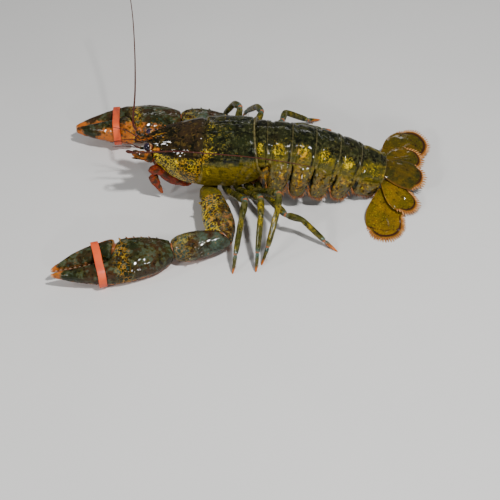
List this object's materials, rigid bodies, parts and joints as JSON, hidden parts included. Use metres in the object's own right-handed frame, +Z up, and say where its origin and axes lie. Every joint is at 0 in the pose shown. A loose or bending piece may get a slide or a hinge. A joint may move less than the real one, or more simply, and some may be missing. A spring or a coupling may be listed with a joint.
{
  "type": "american lobster",
  "caption": "Life-size still model of an American lobster standing on its legs, with banded claws held forward, jointed shell pieces, long feelers and a spread tail fan.",
  "frame": {"origin": "on the floor, under the middle of the whole model's box, feelers and claws included", "axes": "+Z up; the head points to -X and the tail to +X; the animal's left side is to -Y"},
  "size_m": [0.3168, 0.2884, 0.1153],
  "materials": {
    "shell_back": "wet chitin shell, dark green-brown with yellow mottling",
    "shell_tail": "wet chitin plates, amber olive with an orange-brown fringed rim",
    "shell_claw": "wet chitin shell, dark brown-green speckled with orange",
    "shell_leg": "wet chitin, olive green with blue-grey joints and orange tips",
    "shell_belly": "pale thin shell",
    "mouthparts": "wet chitin, orange-red to olive",
    "feelers": "finely ringed, dark red-brown",
    "eyes": "black, very glossy",
    "bands": "smooth salmon-orange rubber"
  },
  "bodies": {
    "root": {"carapace": "shell_back", "abdomen_1": "shell_back", "abdomen_2": "shell_back", "abdomen_3": "shell_back", "abdomen_4": "shell_back", "abdomen_5": "shell_back", "abdomen_6": "shell_back", "telson": "shell_tail", "uropod_inner_l": "shell_tail", "uropod_inner_r": "shell_tail", "uropod_outer_l": "shell_tail", "uropod_outer_r": "shell_tail", "claw_palm_l": "shell_claw", "claw_finger_l": "shell_claw", "arm_upper_l": "shell_claw", "arm_wrist_l": "shell_claw", "claw_palm_r": "shell_claw", "claw_finger_r": "shell_claw", "arm_upper_r": "shell_claw", "arm_wrist_r": "shell_claw", "leg2_l_thigh": "shell_leg", "leg2_l_shank": "shell_leg", "leg2_l_toe": "shell_leg", "leg3_l_thigh": "shell_leg", "leg3_l_shank": "shell_leg", "leg3_l_toe": "shell_leg", "leg4_l_thigh": "shell_leg", "leg4_l_shank": "shell_leg", "leg4_l_toe": "shell_leg", "leg5_l_thigh": "shell_leg", "leg5_l_shank": "shell_leg", "leg5_l_toe": "shell_leg", "leg2_r_thigh": "shell_leg", "leg2_r_shank": "shell_leg", "leg2_r_toe": "shell_leg", "leg3_r_thigh": "shell_leg", "leg3_r_shank": "shell_leg", "leg3_r_toe": "shell_leg", "leg4_r_thigh": "shell_leg", "leg4_r_shank": "shell_leg", "leg4_r_toe": "shell_leg", "leg5_r_thigh": "shell_leg", "leg5_r_shank": "shell_leg", "leg5_r_toe": "shell_leg", "sternum": "shell_belly", "face": "mouthparts", "maxilliped_l": "mouthparts", "maxilliped_r": "mouthparts", "antenna_base_l": "mouthparts", "antenna_base_r": "mouthparts", "feeler_near_l": "feelers", "feeler_far_l": "feelers", "feeler_near_r": "feelers", "feeler_far_r": "feelers", "antennule_l": "feelers", "antennule_r": "feelers", "eye_l": "eyes", "eye_r": "eyes", "band_l": "bands", "band_r": "bands"}
  },
  "joints": []
}
